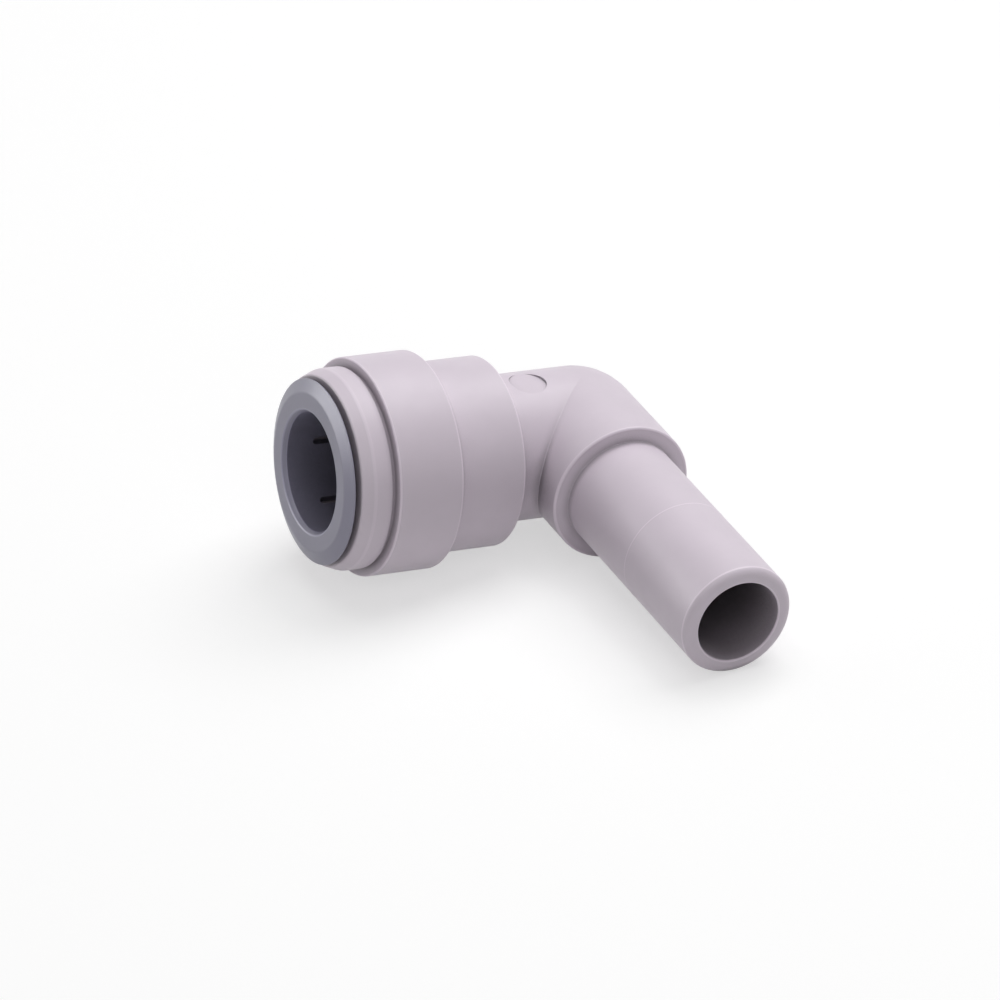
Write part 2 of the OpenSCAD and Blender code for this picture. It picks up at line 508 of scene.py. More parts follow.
class Recipe:
    """A material's nodes, added one by one."""

    def __init__(self, material: bpy.types.Material) -> None:
        """Starts from the material's shader and its Object coordinates.

        Args:
            material: The material, with Blender's first nodes.
        """
        self.tree = material.node_tree
        self.shader = self.tree.nodes["Principled BSDF"]
        self.place = self.node("ShaderNodeTexCoord").outputs["Object"]

    def node(self, kind: str, **values: object) -> bpy.types.Node:
        """Adds a node.

        Args:
            kind: Blender's name for the kind of node.
            values: The properties that are set.

        Returns:
            The node.
        """
        node = self.tree.nodes.new(kind)
        for name, value in values.items():
            setattr(node, name, value)
        return node

    def link(self, source: bpy.types.NodeSocket, target: bpy.types.NodeSocket) -> None:
        """Joins an output to an input."""
        self.tree.links.new(source, target)

    def noise(self, size: float, detail: float = 2.0) -> bpy.types.NodeSocket:
        """Adds a noise.

        Args:
            size: Size of its largest features, in millimetres.
            detail: How much finer detail it holds.

        Returns:
            The noise's value.
        """
        node = self.node("ShaderNodeTexNoise")
        node.inputs["Scale"].default_value = 1 / (size * MM)
        node.inputs["Detail"].default_value = detail
        self.link(self.place, node.inputs["Vector"])
        return node.outputs["Fac"]

    def ramp(
        self,
        source: bpy.types.NodeSocket,
        low: float,
        high: float,
        span: tuple[float, float] = (0.3, 0.7),
    ) -> bpy.types.NodeSocket:
        """Spreads a span of values over a range.

        Args:
            source: The value to spread.
            low: Result at the span's start and before it.
            high: Result at the span's end and after it.
            span: Start and end; as given, a noise's middle values.

        Returns:
            The spread value.
        """
        node = self.node("ShaderNodeMapRange")
        node.inputs["From Min"].default_value = span[0]
        node.inputs["From Max"].default_value = span[1]
        node.inputs["To Min"].default_value = low
        node.inputs["To Max"].default_value = high
        self.link(source, node.inputs["Value"])
        return node.outputs["Result"]

    def blend(
        self,
        source: bpy.types.NodeSocket,
        low: tuple[float, float, float],
        high: tuple[float, float, float],
    ) -> bpy.types.NodeSocket:
        """Blends two colours by a noise.

        Args:
            source: The noise.
            low: Linear colour where it is low.
            high: Linear colour where it is high.

        Returns:
            The blended colour.
        """
        node = self.node("ShaderNodeMix", data_type="RGBA")
        self.link(self.ramp(source, 0, 1), node.inputs["Factor"])
        for socket in node.inputs:
            if socket.type == "RGBA":
                socket.default_value = (*(low if socket.name == "A" else high), 1)
        return next(s for s in node.outputs if s.type == "RGBA")

    def scale(
        self, colour: bpy.types.NodeSocket, share: bpy.types.NodeSocket
    ) -> bpy.types.NodeSocket:
        """Scales a colour.

        Args:
            colour: The colour.
            share: The share of it that is left.

        Returns:
            The scaled colour.
        """
        node = self.node("ShaderNodeVectorMath", operation="SCALE")
        self.link(colour, node.inputs["Vector"])
        self.link(share, node.inputs["Scale"])
        return node.outputs["Vector"]

    def painted_shade(self, hollow: PaintedShadeHollow, left: float) -> bpy.types.NodeSocket:
        """Darkens the colour as painted shade, where ambient occlusion finds a closed-in spot of one
        kind.

        Args:
            hollow: The kind of hollow.
            left: Result where a hollow is deepest.

        Returns:
            A share of the colour, which is 1 on open faces and lower where shade is painted.
        """
        node = self.node("ShaderNodeAmbientOcclusion", samples=4, only_local=hollow.alone)
        node.inputs["Distance"].default_value = hollow.reach * MM
        return self.ramp(node.outputs["AO"], left, 1.0, (hollow.deepest, hollow.end))

    def bump(self, layers: list[tuple[bpy.types.NodeSocket, float]]) -> bpy.types.NodeSocket:
        """Stacks bumps.

        Args:
            layers: Heights, each with its depth in millimetres.

        Returns:
            The bumped normal.
        """
        normal = None
        for height, depth in layers:
            node = self.node("ShaderNodeBump")
            node.inputs["Distance"].default_value = depth * MM
            self.link(height, node.inputs["Height"])
            if normal is not None:
                self.link(normal, node.inputs["Normal"])
            normal = node.outputs["Normal"]
        return normal


@dataclass(frozen=True)
class MouldedPlastic(Finish):
    """Satin moulded acetal, with the fine grain and faint flow marks of its mould.

    Args:
        ripple: Depth of the flow marks, in millimetres.
        flow: Size of the flow marks, in millimetres.
    """

    ripple: float = 0.02
    flow: float = 4.5

    def weave(self, recipe: Recipe) -> None:
        """Adds the flow marks under the grain.

        Args:
            recipe: The nodes of one material.
        """
        super().weave(recipe)
        recipe.link(
            recipe.bump(
                [
                    (recipe.noise(self.grain, detail=2), self.depth),
                    (recipe.noise(self.flow, detail=1), self.ripple),
                ]
            ),
            recipe.shader.inputs["Normal"],
        )


@dataclass(frozen=True)
class MouldedRubber(Finish):
    """Smooth black rubber with a bloom of dust."""


@dataclass(frozen=True)
class StampedSteel(Finish):
    """Bright stamped stainless steel."""

    def weave(self, recipe: Recipe) -> None:
        """Makes the surface bare metal."""
        super().weave(recipe)
        recipe.shader.inputs["Metallic"].default_value = 1.0


# Body and cap rims get a painted highlight; the cap's is faint.
BODY_PLASTIC = MouldedPlastic("body_plastic", (0.694, 0.617, 0.694))
CAP_PLASTIC = MouldedPlastic("cap_plastic", (0.694, 0.617, 0.694), rim_highlight=0.06)
# The collet gets deep painted shade in its bore and a strong painted highlight on its rims.
COLLET_PLASTIC = MouldedPlastic(
    "collet_plastic",
    (0.27, 0.258, 0.345),
    roughness=0.36,
    spread=0.02,
    rim_highlight=0.3,
    ripple=0.01,
    index=1.6,
    bore_shade_left=0.03,
)
SEAL_RUBBER = MouldedRubber("seal_rubber", (0.01, 0.01, 0.011), roughness=0.5, mottle=0.2)
TOOTH_STEEL = StampedSteel("tooth_steel", (0.56, 0.57, 0.58), roughness=0.28, grain=0.05, depth=0.001)


class SubAssembly:
    """What every sub-assembly does with a piece that it has shaped."""

    layout: Layout
    finish: Finish
    body: Body

    @cached_property
    def materials(self) -> dict[Coat, bpy.types.Material]:
        """The finish's materials, made once."""
        return self.finish.materials()

    def hand_over(self, piece: Piece, *nodes: str) -> Piece:
        """Shades a piece, lays it down, coats it and joins it to its body.

        Args:
            piece: The shaped piece, in the elbow's own axes.
            nodes: The CAD nodes that it stands for.

        Returns:
            The finished piece.
        """
        Bench.smooth(piece)
        self.layout.lie_down(piece)
        Bench.open_slots(piece)
        for coat in Coat:
            piece.data.materials[coat.value] = self.materials[coat]
        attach(piece, self.body.value)
        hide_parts(*nodes)
        return piece


@dataclass
class ElbowMoulding(SubAssembly):
    """The body: socket leg, rounded corner and stem in one moulding."""

    layout: Layout
    elbow_r: float = 9.5
    barrel_back: float = 13.0
    barrel_r: float = 12.25
    collar_back: float = 22.639
    collar_r: float = 14.0
    mouth: float = 31.539
    edge: float = 0.3
    mouth_edge: float = 0.22
    barrel_foot: float = 0.2
    collar_foot: float = 0.15
    boss_foot: float = 0.12
    corner_steps: int = 48
    crease_fillet: float = 0.12
    crease_start: float = 0.6
    crease_full: float = 6.5
    boss: float = 13.9
    stem_r: float = 7.5
    witness: float = 29.7
    witness_w: float = 0.24
    witness_h: float = 0.04
    witness_top: float = 0.6
    tip_start: float = 45.4
    tip: float = 46.2
    tip_fall: float = 1.15
    tip_slope: float = 20.0
    tip_steps: int = 8
    tip_start_edge: float = 0.12
    tip_trim: float = 0.004
    water_r: float = 5.55
    water_start: float = 0.5
    rim_break: float = 0.22
    neck_water_r: float = 6.4
    ball_steps: int = 24
    ball_open: float = 3.0
    stop: float = 8.5
    stop_edge: float = 0.1
    bore_r: float = 7.65
    groove_edge: float = 0.15
    ring_back: float = 17.5
    ring_front: float = 20.3
    groove_r: float = 10.15
    chamber_back: float = 20.9
    chamber_r: float = 10.45
    pocket_floor: float = 24.339
    pocket_r: float = 11.7
    pocket_flare: float = 0.15
    gate: float = 7.9
    gate_r: float = 2.45
    gate_depth: float = 0.3
    gate_edge: float = 0.08
    gate_fade: float = 0.03
    finish: Finish = BODY_PLASTIC
    body: Body = Body.FITTING

    def build(self) -> Piece:
        """Shapes the whole moulding.

        Returns:
            The moulding in the elbow's own axes.
        """
        shell = self.outside()
        Bench.cut(shell, self.gate_pin())
        self.soften_gate(shell)
        for core in (self.socket_core(), self.stem_core()):
            Bench.cut(shell, core)
        return shell

    def dress(self, piece: Piece) -> list[Piece]:
        """Finishes the moulding and hands it over."""
        return [self.hand_over(piece, "elbow_body")]

    def outside(self) -> Piece:
        """Joins both legs round the corner into one closed skin.

        Returns:
            The skin, still solid inside.
        """
        socket = Lathe.turn(
            "body_moulding",
            [
                Ring(-self.elbow_r - OVERRUN, self.elbow_r),
                Ring(self.barrel_back, self.elbow_r, self.barrel_foot, Steps.SMALL),
                # Painted highlight: the rounded rims of the barrel, collar and mouth are coloured
                # paler.
                Ring(self.barrel_back, self.barrel_r, self.edge, coat=Coat.RIM),
                Ring(self.collar_back, self.barrel_r, self.collar_foot, Steps.SMALL),
                Ring(self.collar_back, self.collar_r, self.edge, coat=Coat.RIM),
                Ring(self.mouth, self.collar_r, self.mouth_edge, coat=Coat.RIM),
                Ring(self.mouth, self.chamber_r),
            ],
            open_ends=True,
        )
        Lathe.lay_along(socket, Leg.SOCKET)
        stem = Lathe.turn(
            "stem_leg",
            [
                Ring(-self.elbow_r - OVERRUN, self.elbow_r),
                # Painted highlight: the boss's rim is coloured paler.
                Ring(self.boss, self.elbow_r, self.edge, coat=Coat.RIM),
                Ring(self.boss, self.stem_r, self.boss_foot, Steps.SMALL),
                *self.witness_line(),
                *self.tip_rings(),
                Ring(self.tip, self.water_r - OVERRUN),
            ],
            open_ends=True,
        )
        Lathe.lay_along(stem, Leg.STEM)
        self.mitre(socket, Vector((1, 0, 0)), Vector((0, 1, 0)))
        self.mitre(stem, Vector((0, 1, 0)), Vector((1, 0, 0)))
        self.spin_corner(socket)
        Bench.take(stem, socket)
        bpy.ops.object.join()
        self.fill_ends(socket)
        self.fillet_crease(socket)
        return socket

    def witness_line(self) -> list[Ring]:
        """Draws the fine ridge that the mould left round the stem.

        Returns:
            The ridge's rings.
        """
        half, ridge = self.witness_w / 2, self.stem_r + self.witness_h
        return [
            Ring(self.witness - half, self.stem_r),
            # Painted highlight: the ridge's rounding is coloured paler.
            Ring(self.witness, ridge, half * self.witness_top, coat=Coat.RIM),
            Ring(self.witness + half, self.stem_r),
        ]

    def tip_rings(self) -> list[Ring]:
        """Draws the rounding that runs out into the stem's flat end.

        Returns:
            The rounding's rings, the first of which has an edge of its own.
        """
        start = math.radians(self.tip_slope)
        rings = []
        for step in range(self.tip_steps + 1):
            turn = start + (math.pi / 2 - start) * step / self.tip_steps
            inwards = 1 - math.cos(turn) / math.cos(start)
            along = (math.sin(turn) - math.sin(start)) / (1 - math.sin(start))
            # Painted highlight: the tip's rounding is coloured paler.
            rings.append(
                Ring(
                    self.tip_start + (self.tip - self.tip_start) * along,
                    self.stem_r - self.tip_fall * inwards,
                    self.tip_start_edge if step == 0 else 0.0,
                    Steps.TINY,
                    Coat.RIM,
                )
            )
        return rings

    @staticmethod
    def mitre(leg: Piece, back: Vector, outer: Vector) -> None:
        """Cuts a leg's open end: square on its outer half, and on the mitre on its inner half.

        Args:
            leg: The open leg, run on past the crossing.
            back: Direction from the leg's mouth past the crossing.
            outer: Direction from the crossing to the leg's outer half.
        """
        with Bench.editing(leg):
            for normal in (back, (back - outer).normalized()):
                bpy.ops.mesh.select_all(action="SELECT")
                bpy.ops.mesh.bisect(plane_co=(0, 0, 0), plane_no=normal)
            Bench.pick(
                leg,
                "FACE",
                lambda f: (
                    f.calc_center_median().dot(back) > NEAR
                    if f.calc_center_median().dot(outer) > 0
                    else f.calc_center_median().dot(back - outer) > NEAR
                ),
            )
            bpy.ops.mesh.delete(type="FACE")
            bpy.ops.mesh.select_mode(type="VERT")
            bpy.ops.mesh.select_all(action="SELECT")
            bpy.ops.mesh.delete_loose()

    def spin_corner(self, leg: Piece) -> None:
        """Spins the leg's square half ring round the corner, as a ball's quarter.

        Args:
            leg: The mitred socket leg.
        """
        with Bench.editing(leg):
            Bench.pick(
                leg,
                "EDGE",
                lambda e: all(abs(v.co.x) < NEAR and v.co.y > -NEAR for v in e.verts),
            )
            bpy.ops.mesh.spin(
                steps=self.corner_steps,
                angle=math.pi / 2,
                center=(0, 0, 0),
                axis=(0, 0, 1),
            )

    @staticmethod
    def fill_ends(skin: Piece) -> None:
        """Merges the joints of a skin and closes its two ends.

        Args:
            skin: Both legs and the corner, joined.
        """
        Bench.close_up(skin)
        with Bench.editing(skin):
            Bench.pick(skin, "EDGE", lambda e: e.is_boundary)
            bpy.ops.mesh.fill_holes(sides=0)
        Bench.close_up(skin)

    def fillet_crease(self, skin: Piece) -> None:
        """Fillets the inner crease, ever less towards where it fades out on top and below.

        Args:
            skin: The closed skin.
        """
        mesh = skin.data
        start, full = self.crease_start * MM, self.crease_full * MM
        weights = mesh.attributes.new("bevel_weight_edge", "FLOAT", "EDGE")
        for edge in mesh.edges:
            ends = [mesh.vertices[v].co for v in edge.vertices]
            depth = -sum(end.y for end in ends) / 2
            if all(abs(end.x - end.y) < NEAR for end in ends) and depth > start:
                weights.data[edge.index].value = min(1.0, (depth - start) / (full - start))
        Bench.take(skin)
        modifier = skin.modifiers.new("crease", "BEVEL")
        modifier.limit_method = "WEIGHT"
        modifier.width = self.crease_fillet * MM
        modifier.segments = Steps.FINE
        modifier.use_clamp_overlap = False
        bpy.ops.object.modifier_apply(modifier=modifier.name)

    def socket_core(self) -> Piece:
        """Turns the core that leaves the waterway's corner, the tube's seat and the chambers.

        Returns:
            The core, on the socket's leg.
        """
        ball = []
        for step in range(self.ball_steps + 1):
            turn = math.radians(self.ball_open + (90 - self.ball_open) * step / self.ball_steps)
            ball.append(Ring(-self.neck_water_r * math.cos(turn), self.neck_water_r * math.sin(turn)))
        core = Lathe.turn(
            "socket_core",
            [
                *ball,
                Ring(self.stop, self.neck_water_r, self.stop_edge, Steps.TINY),
                Ring(self.stop, self.bore_r),
                Ring(self.ring_back, self.bore_r, self.groove_edge, Steps.TINY),
                Ring(self.ring_back, self.groove_r),
                Ring(self.ring_front, self.groove_r),
                Ring(self.chamber_back, self.chamber_r),
                Ring(self.pocket_floor, self.chamber_r),
                Ring(self.pocket_floor, self.pocket_r),
                Ring(self.mouth - self.pocket_flare, self.pocket_r),
                Ring(self.mouth - self.pocket_flare + OVERRUN, self.pocket_r + OVERRUN),
            ],
        )
        Lathe.lay_along(core, Leg.SOCKET)
        return core

    def stem_core(self) -> Piece:
        """Turns the core that leaves the stem's waterway and its broken edge, and trims the tip flat.

        Returns:
            The core, on the stem's leg.
        """
        end, flange_r = self.tip - self.tip_trim, self.stem_r + OVERRUN
        core = Lathe.turn(
            "stem_core",
            [
                Ring(self.water_start, self.water_r),
                # Painted highlight: the waterway's broken edge is coloured paler.
                Ring(end, self.water_r, self.rim_break, Steps.FINE, Coat.RIM),
                Ring(end, flange_r),
                Ring(end + OVERRUN, flange_r),
            ],
        )
        Lathe.lay_along(core, Leg.STEM)
        return core

    def gate_pin(self) -> Piece:
        """Turns the pin that leaves the round gate recess on top.

        Returns:
            The pin, over the recess.
        """
        floor, top = self.elbow_r - self.gate_depth, self.elbow_r + OVERRUN
        pin = Lathe.turn("gate_pin", [Ring(floor, self.gate_r), Ring(top, self.gate_r)])
        Bench.set_down(pin, Matrix.Translation((-self.gate * MM, 0, 0)))
        return pin

    def soften_gate(self, skin: Piece) -> None:
        """Rounds the rim of the gate recess, up to where it fades out at the sides.

        Args:
            skin: The skin with its recess.
        """
        middle = Vector((-self.gate * MM, 0))
        above = (self.elbow_r - self.gate_depth + self.gate_fade) * MM
        with Bench.editing(skin):
            Bench.pick(
                skin,
                "EDGE",
                lambda e: all(
                    abs((v.co.xy - middle).length - self.gate_r * MM) < CUT_NEAR and v.co.z > above
                    for v in e.verts
                ),
            )
            Bench.bevel(self.gate_edge, Steps.SMALL, clamp=True)


@dataclass
class EndCap(SubAssembly):
    """The ring in the mouth that holds the collet."""

    layout: Layout
    spigot_end: float = 24.589
    spigot_r: float = 11.65
    mouth: float = 31.539
    foot_r: float = 12.45
    foot_w: float = 0.5
    nose_r: float = 12.9
    slope: float = 34.45
    nose: float = 36.089
    nose_face_r: float = 12.25
    bore_r: float = 9.05
    cone_front: float = 29.636
    cone_back: float = 25.789
    chamber_r: float = 10.45
    spigot_edge: float = 0.3
    nose_edge: float = 0.22
    soft_edge: float = 0.15
    fine_edge: float = 0.1
    finish: Finish = CAP_PLASTIC
    body: Body = Body.FITTING

    def build(self) -> Piece:
        """Turns the cap with its spigot, grooved foot, sloped nose and inner cone.

        Returns:
            The cap in the elbow's own axes.
        """
        cap = Lathe.turn(
            "cap_moulding",
            [
                Ring(self.spigot_end, self.chamber_r, self.fine_edge, Steps.TINY),
                Ring(self.spigot_end, self.spigot_r, self.spigot_edge, Steps.SMALL),
                Ring(self.mouth, self.spigot_r),
                Ring(self.mouth, self.foot_r),
                Ring(self.mouth + self.foot_w, self.foot_r, self.fine_edge, Steps.TINY),
                Ring(self.mouth + self.foot_w, self.nose_r, self.soft_edge, Steps.SMALL),
                # Painted highlight: the nose's front rim is coloured paler.
                Ring(self.slope, self.nose_r, self.nose_edge, coat=Coat.RIM),
                Ring(self.nose, self.nose_face_r, self.nose_edge),
                Ring(self.nose, self.bore_r, self.soft_edge, Steps.SMALL),
                Ring(self.cone_front, self.bore_r, self.fine_edge, Steps.TINY),
                Ring(self.cone_back, self.chamber_r, self.fine_edge, Steps.TINY),
            ],
            endless=True,
        )
        Lathe.lay_along(cap, Leg.SOCKET)
        return cap

    def dress(self, piece: Piece) -> list[Piece]:
        """Finishes the cap and hands it over."""
        return [self.hand_over(piece, "end_cap")]


@dataclass
class GripTeeth(SubAssembly):
    """Six stamped teeth that lean towards the stop."""

    layout: Layout
    station: float = 22.337
    tip_r: float = 7.45
    depth: float = 1.75
    thick: float = 0.4
    lean: float = 35.0
    arc: float = 38.0
    hone: float = 0.22
    first_turn: float = 32.4
    count: int = 6
    finish: Finish = TOOTH_STEEL
    body: Body = Body.GRIPPER

    def turn_of(self, number: int) -> float:
        """Gives a tooth's turn about the socket, in degrees."""
        return self.first_turn + (number - 0.5) * 360 / self.count

    def plate(self, name: str, clearance: float = 0.0) -> Piece:
        """Shapes one plate about +Z, across the X axis.

        Args:
            name: The piece's name.
            clearance: How much larger the plate is all round, in millimetres.

        Returns:
            The plate, honed to its biting edge.
        """
        slope = math.tan(math.radians(self.lean))
        low, high = self.tip_r - clearance, self.tip_r + self.depth + clearance
        base = self.station - clearance
        rise, thick = (high - low) * slope, self.thick + 2 * clearance
        hone = 0.0 if clearance else self.hone
        plate = Lathe.turn(
            name,
            [
                Ring(base, low),
                Ring(base + rise, high),
                Ring(base + rise + thick, high),
                Ring(base + thick + hone * slope, low + hone),
                Ring(base + thick - hone, low),
            ],
            endless=True,
        )
        half = math.radians(self.arc / 2 + math.degrees(clearance / self.tip_r))
        with Bench.editing(plate):
            for side in (1, -1):
                bpy.ops.mesh.select_all(action="SELECT")
                bpy.ops.mesh.bisect(
                    plane_co=(0, 0, 0),
                    plane_no=(-math.sin(half), side * math.cos(half), 0),
                    clear_outer=True,
                    use_fill=True,
                )
        Bench.close_up(plate)
        return plate

    def build(self) -> list[Piece]:
        """Shapes one tooth and copies it round the collet.

        Returns:
            The six teeth in the elbow's own axes.
        """
        pattern = self.plate("tooth_pattern")
        teeth = []
        for number in range(1, self.count + 1):
            tooth = Bench.copy(pattern, f"steel_tooth_{number}")
            Bench.set_down(tooth, Matrix.Rotation(math.radians(self.turn_of(number)), 4, "Z"))
            Lathe.lay_along(tooth, Leg.SOCKET)
            teeth.append(tooth)
        bpy.data.objects.remove(pattern)
        return teeth

    def dress(self, teeth: list[Piece]) -> list[Piece]:
        """Finishes the teeth and hands them over."""
        return [self.hand_over(tooth, f"grip_tooth_{n}") for n, tooth in enumerate(teeth, 1)]


@dataclass
class Collet(SubAssembly):
    """The sliding collet: flange, sleeve and six sprung fingers between round-ended slits."""

    layout: Layout
    teeth: GripTeeth
    end: float = 21.45
    bore_r: float = 7.65
    head_r: float = 10.1
    head_bevel: float = 0.4
    head_front: float = 24.45
    cone_front: float = 28.159
    sleeve_r: float = 8.75
    flange_back: float = 36.789
    flange_w: float = 0.1
    flange_r: float = 11.9
    face: float = 37.639
    face_r: float = 10.2
    mouth_r: float = 8.05
    lead_len: float = 0.6
    head_edge: float = 0.08
    cone_edge: float = 0.12
    sleeve_foot: float = 0.15
    flange_back_edge: float = 0.04
    flange_front_edge: float = 0.05
    face_edge: float = 0.2
    mouth_edge: float = 0.16
    lead_edge: float = 0.09
    slit_w: float = 1.0
    slit_start: float = 4.2
    slit_spare: float = 0.8
    slit_round: float = 0.999
    slit_steps: int = 10
    seat_play: float = 0.02
    finish: Finish = COLLET_PLASTIC
    body: Body = Body.GRIPPER

    def build(self) -> Piece:
        """Turns the collet, slits it and cuts the seats of its teeth.

        Returns:
            The collet in the elbow's own axes.
        """
        flange_front = self.flange_back + self.flange_w
        lead_end = self.face - self.lead_len
        collet = Lathe.turn(
            "slit_collet",
            [
                Ring(self.end, self.bore_r, self.head_edge, Steps.TINY),
                Ring(self.end, self.head_r - self.head_bevel, self.head_edge, Steps.TINY),
                Ring(self.end + self.head_bevel, self.head_r, self.head_edge, Steps.TINY),
                Ring(self.head_front, self.head_r, self.cone_edge, Steps.TINY),
                Ring(self.cone_front, self.sleeve_r, self.cone_edge, Steps.TINY),
                Ring(self.flange_back, self.sleeve_r, self.sleeve_foot, Steps.SMALL),
                Ring(self.flange_back, self.flange_r, self.flange_back_edge, Steps.TINY),
                Ring(flange_front, self.flange_r, self.flange_front_edge, Steps.TINY),
                Ring(self.face, self.face_r, self.face_edge),
                # Painted highlight: the mouth's rim and lead-in are coloured paler.
                Ring(self.face, self.mouth_r, self.mouth_edge, coat=Coat.RIM),
                Ring(lead_end, self.bore_r, self.lead_edge, Steps.SMALL, Coat.RIM),
            ],
            endless=True,
        )
        half_pitch = 180 / self.teeth.count
        for number in range(1, self.teeth.count + 1):
            seat_turn = self.teeth.turn_of(number)
            for cutter, turn in (
                (self.slit_cutter(), seat_turn + half_pitch),
                (self.teeth.plate("tooth_seat", self.seat_play), seat_turn),
            ):
                Bench.set_down(cutter, Matrix.Rotation(math.radians(turn), 4, "Z"))
                Bench.cut(collet, cutter)
        Lathe.lay_along(collet, Leg.SOCKET)
        return collet

    def slit_cutter(self) -> Piece:
        """Shapes a bar across the wall, with the slit's round end.

        Returns:
            The bar, on the +X side of a collet about +Z.
        """
        low, high = self.end - OVERRUN, self.face - self.slit_start
        inner, outer = self.bore_r - self.slit_spare, self.head_r + self.slit_spare
        bpy.ops.object.select_all(action="DESELECT")
        bpy.ops.mesh.primitive_cube_add(
            size=MM, location=((inner + outer) / 2 * MM, 0, (low + high) / 2 * MM)
        )
        bar = bpy.context.object
        bar.scale = (outer - inner, self.slit_w, high - low)
        Bench.settle()
        with Bench.editing(bar):
            Bench.pick(
                bar,
                "EDGE",
                lambda e: all(v.co.z > high * MM - NEAR for v in e.verts)
                and abs(e.verts[0].co.x - e.verts[1].co.x) > MM,
            )
            Bench.bevel(self.slit_w / 2 * self.slit_round, self.slit_steps)
        return bar

    def dress(self, piece: Piece) -> list[Piece]:
        """Finishes the collet and hands it over."""
        return [self.hand_over(piece, "collet")]


@dataclass
class SealRing(SubAssembly):
    """The rubber ring, with the fine flash line of its mould."""

    layout: Layout
    station: float = 18.9
    middle_r: float = 8.75
    section_r: float = 1.3
    section_steps: int = 48
    flash: float = 0.03
    finish: Finish = SEAL_RUBBER
    body: Body = Body.FITTING

    def build(self) -> Piece:
        """Shapes the ring from a torus and raises its flash line.

        Returns:
            The ring in the elbow's own axes.
        """
        bpy.ops.object.select_all(action="DESELECT")
        bpy.ops.mesh.primitive_torus_add(
            location=(0, 0, self.station * MM),
            major_radius=self.middle_r * MM,
            minor_radius=self.section_r * MM,
            major_segments=FACETS,
            minor_segments=self.section_steps,
        )
        ring = bpy.context.object
        ring.name = ring.data.name = "rubber_seal"
        Bench.settle()
        outer_r = self.middle_r + self.section_r
        with Bench.editing(ring):
            Lathe.pick_ring(ring, Ring(self.station, outer_r))
            Bench.bevel(self.flash, Steps.TINY)
            Lathe.pick_ring(ring, Ring(self.station, outer_r))
            grow = 1 + self.flash / outer_r
            bpy.ops.transform.resize(value=(grow, grow, 1), center_override=(0, 0, 0))
        Lathe.lay_along(ring, Leg.SOCKET)
        return ring

    def dress(self, piece: Piece) -> list[Piece]:
        """Finishes the ring and hands it over."""
        return [self.hand_over(piece, "seal_ring")]


@dataclass(frozen=True)
class Camera:
    """The camera at the photograph's angle.

    Args:
        azimuth: Degrees round from the front, positive towards +X.
        elevation: Degrees above the floor.
        roll: Degrees that the camera leans, positive to its left.
        aim: The point at the middle of the picture, in millimetres.
        distance: From that point to the camera, in millimetres.
        lens: Focal length, in millimetres.
        sensor: Width of the sensor, in millimetres.
        nearest: Where the view starts, in metres.
    """

    azimuth: float = -25.2965
    elevation: float = 30.3553
    roll: float = -2.2072
    aim: tuple[float, float, float] = (-1.5565, 4.4863, 12.0)
    distance: float = 875.104
    lens: float = 249.418
    sensor: float = 36.0
    nearest: float = 0.02

    def build(self) -> Piece:
        """Sets the camera up and makes it the scene's own.

        Returns:
            The camera.
        """
        turn, rise = math.radians(self.azimuth), math.radians(self.elevation)
        back = Vector(
            (math.sin(turn) * math.cos(rise), -math.cos(turn) * math.cos(rise), math.sin(rise))
        )
        place = back.to_track_quat("Z", "Y").to_matrix().to_4x4()
        place @= Matrix.Rotation(math.radians(self.roll), 4, "Z")
        place.translation = Vector(self.aim) * MM + back * self.distance * MM
        data = bpy.data.cameras.new("camera")
        data.lens = self.lens
        data.sensor_width = self.sensor
        data.clip_start = self.nearest
        camera = bpy.data.objects.new("camera", data)
        camera.matrix_world = place
        bpy.context.scene.collection.objects.link(camera)
        bpy.context.scene.camera = camera
        return camera


@dataclass(frozen=True)
class SoftLamp:
    """A large square lamp that faces the elbow.

    Args:
        name: The lamp's name.
        way: Direction from the elbow to the lamp.
        power: Power, in watts.
        size: Side, in metres.
        far: Distance from the elbow, in metres.
        only_gloss: Whether it shows in gloss and lights nothing else.
    """

    name: str
    way: tuple[float, float, float]
    power: float
    size: float = 0.6
    far: float = 0.8
    only_gloss: bool = False

    def hang(self) -> None:
        """Hangs the lamp."""
        data = bpy.data.lights.new(self.name, "AREA")
        data.shape = "SQUARE"
        data.size = self.size
        data.energy = self.power
        lamp = bpy.data.objects.new(self.name, data)
        way = Vector(self.way).normalized()
        place = way.to_track_quat("Z", "Y").to_matrix().to_4x4()
        place.translation = way * self.far
        lamp.matrix_world = place
        lamp.visible_diffuse = not self.only_gloss
        bpy.context.scene.collection.objects.link(lamp)


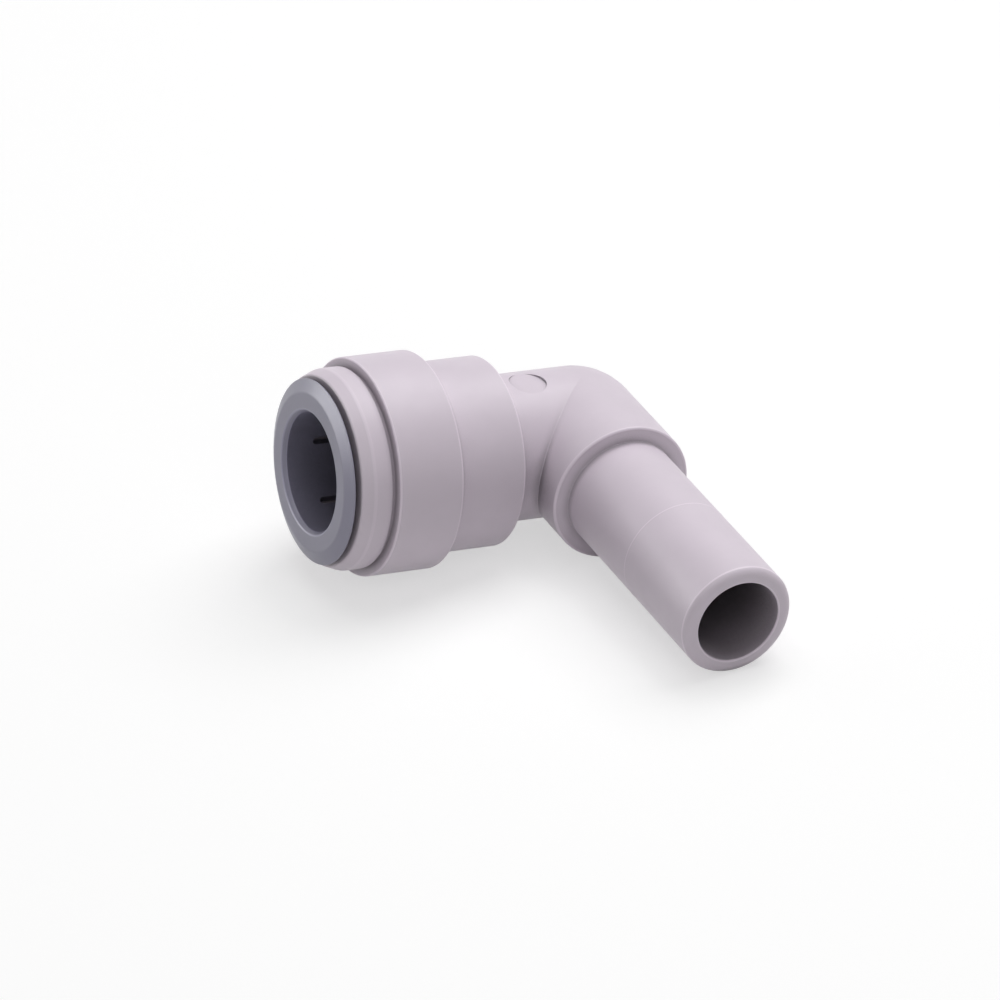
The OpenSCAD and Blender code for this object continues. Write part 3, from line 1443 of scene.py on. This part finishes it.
@dataclass(frozen=True)
class Studio:
    """A pale floor under soft lamps in a white room.

    Args:
        floor_half: Half the floor's side, in metres.
        lamps: The soft lamps.
        room: Strength of the room's own light on surfaces.
        floor_seen: Grey of the floor that is seen, under the added white.
        floor_white: White added to the floor that is seen.
        floor_bounce: Grey of the floor that lights the object.
    """

    floor_half: float = 3.0
    lamps: tuple[SoftLamp, ...] = (
        SoftLamp("main_lamp", (0.5, 0.2, 0.84), 3.4),
        SoftLamp("top_lamp", (0.0, 0.1, 1.0), 2.0),
        SoftLamp("front_lamp", (-0.2, -0.75, 0.6), 0.95),
        SoftLamp("back_lamp", (-0.7, 0.55, 0.45), 0.5),
        SoftLamp("gloss_lamp", (-0.76, 0.6, 0.2), 4.5, only_gloss=True),
    )
    room: float = 0.11
    floor_seen: float = 0.5
    floor_white: float = 0.56
    floor_bounce: float = 0.78

    def build(self) -> None:
        """Lays the floor and lights the room."""
        self.lay_floor()
        for lamp in self.lamps:
            lamp.hang()
        self.light_room()

    @staticmethod
    def split(tree: bpy.types.NodeTree, lights: bpy.types.Node, shows: bpy.types.Node) -> None:
        """Gives the floor or the room one shader that lights the object and one that shows.

        Args:
            tree: Its nodes.
            lights: The shader that lights the object.
            shows: The shader that is seen by the camera, in gloss and through glass.
        """
        path = tree.nodes.new("ShaderNodeLightPath")
        value = path.outputs["Is Camera Ray"]
        for name in ("Is Glossy Ray", "Is Transmission Ray"):
            larger = tree.nodes.new("ShaderNodeMath")
            larger.operation = "MAXIMUM"
            tree.links.new(value, larger.inputs[0])
            tree.links.new(path.outputs[name], larger.inputs[1])
            value = larger.outputs[0]
        choice = tree.nodes.new("ShaderNodeMixShader")
        for source, socket in zip((value, lights.outputs[0], shows.outputs[0]), choice.inputs):
            tree.links.new(source, socket)
        output = next(node for node in tree.nodes if node.name.endswith("Output"))
        tree.links.new(choice.outputs[0], output.inputs["Surface"])

    def lay_floor(self) -> None:
        """Lays the floor, which keeps the object's shadow on white."""
        bpy.ops.object.select_all(action="DESELECT")
        bpy.ops.mesh.primitive_plane_add(size=2 * self.floor_half, location=(0, 0, 0))
        floor = bpy.context.object
        floor.name = "floor"
        material = bpy.data.materials.new("floor_white")
        material.use_nodes = True
        tree = material.node_tree
        tree.nodes.remove(tree.nodes["Principled BSDF"])
        paper, bounce = (tree.nodes.new("ShaderNodeBsdfDiffuse") for _ in range(2))
        paper.inputs["Color"].default_value = grey(self.floor_seen)
        bounce.inputs["Color"].default_value = grey(self.floor_bounce)
        white = tree.nodes.new("ShaderNodeEmission")
        white.inputs["Strength"].default_value = self.floor_white
        lifted = tree.nodes.new("ShaderNodeAddShader")
        tree.links.new(paper.outputs[0], lifted.inputs[0])
        tree.links.new(white.outputs[0], lifted.inputs[1])
        self.split(tree, bounce, lifted)
        floor.data.materials.append(material)

    def light_room(self) -> None:
        """Fills the room: white where it is seen, dimmer where it lights surfaces."""
        world = bpy.data.worlds.new("white_room")
        bpy.context.scene.world = world
        world.use_nodes = True
        tree = world.node_tree
        fill = tree.nodes["Background"]
        fill.inputs["Color"].default_value = grey(1.0)
        fill.inputs["Strength"].default_value = self.room
        white = tree.nodes.new("ShaderNodeBackground")
        white.inputs["Color"].default_value = grey(1.0)
        self.split(tree, fill, white)


def main() -> None:
    """Builds the scene, sub-assembly by sub-assembly, and reports each piece."""
    logging.basicConfig(level=logging.INFO, format="%(name)s: %(message)s")
    layout = Layout(frame["record"])
    Camera().build()
    Studio().build()
    teeth = GripTeeth(layout)
    collet = Collet(layout, teeth)
    for assembly in (ElbowMoulding(layout), EndCap(layout), SealRing(layout), teeth, collet):
        for piece in assembly.dress(assembly.build()):
            faces = len(piece.data.polygons)
            LOG.info("%s: %d faces on %s", piece.name, faces, assembly.body.value)
    bpy.context.scene.view_settings.view_transform = "Standard"


if __name__ == "__main__":
    main()
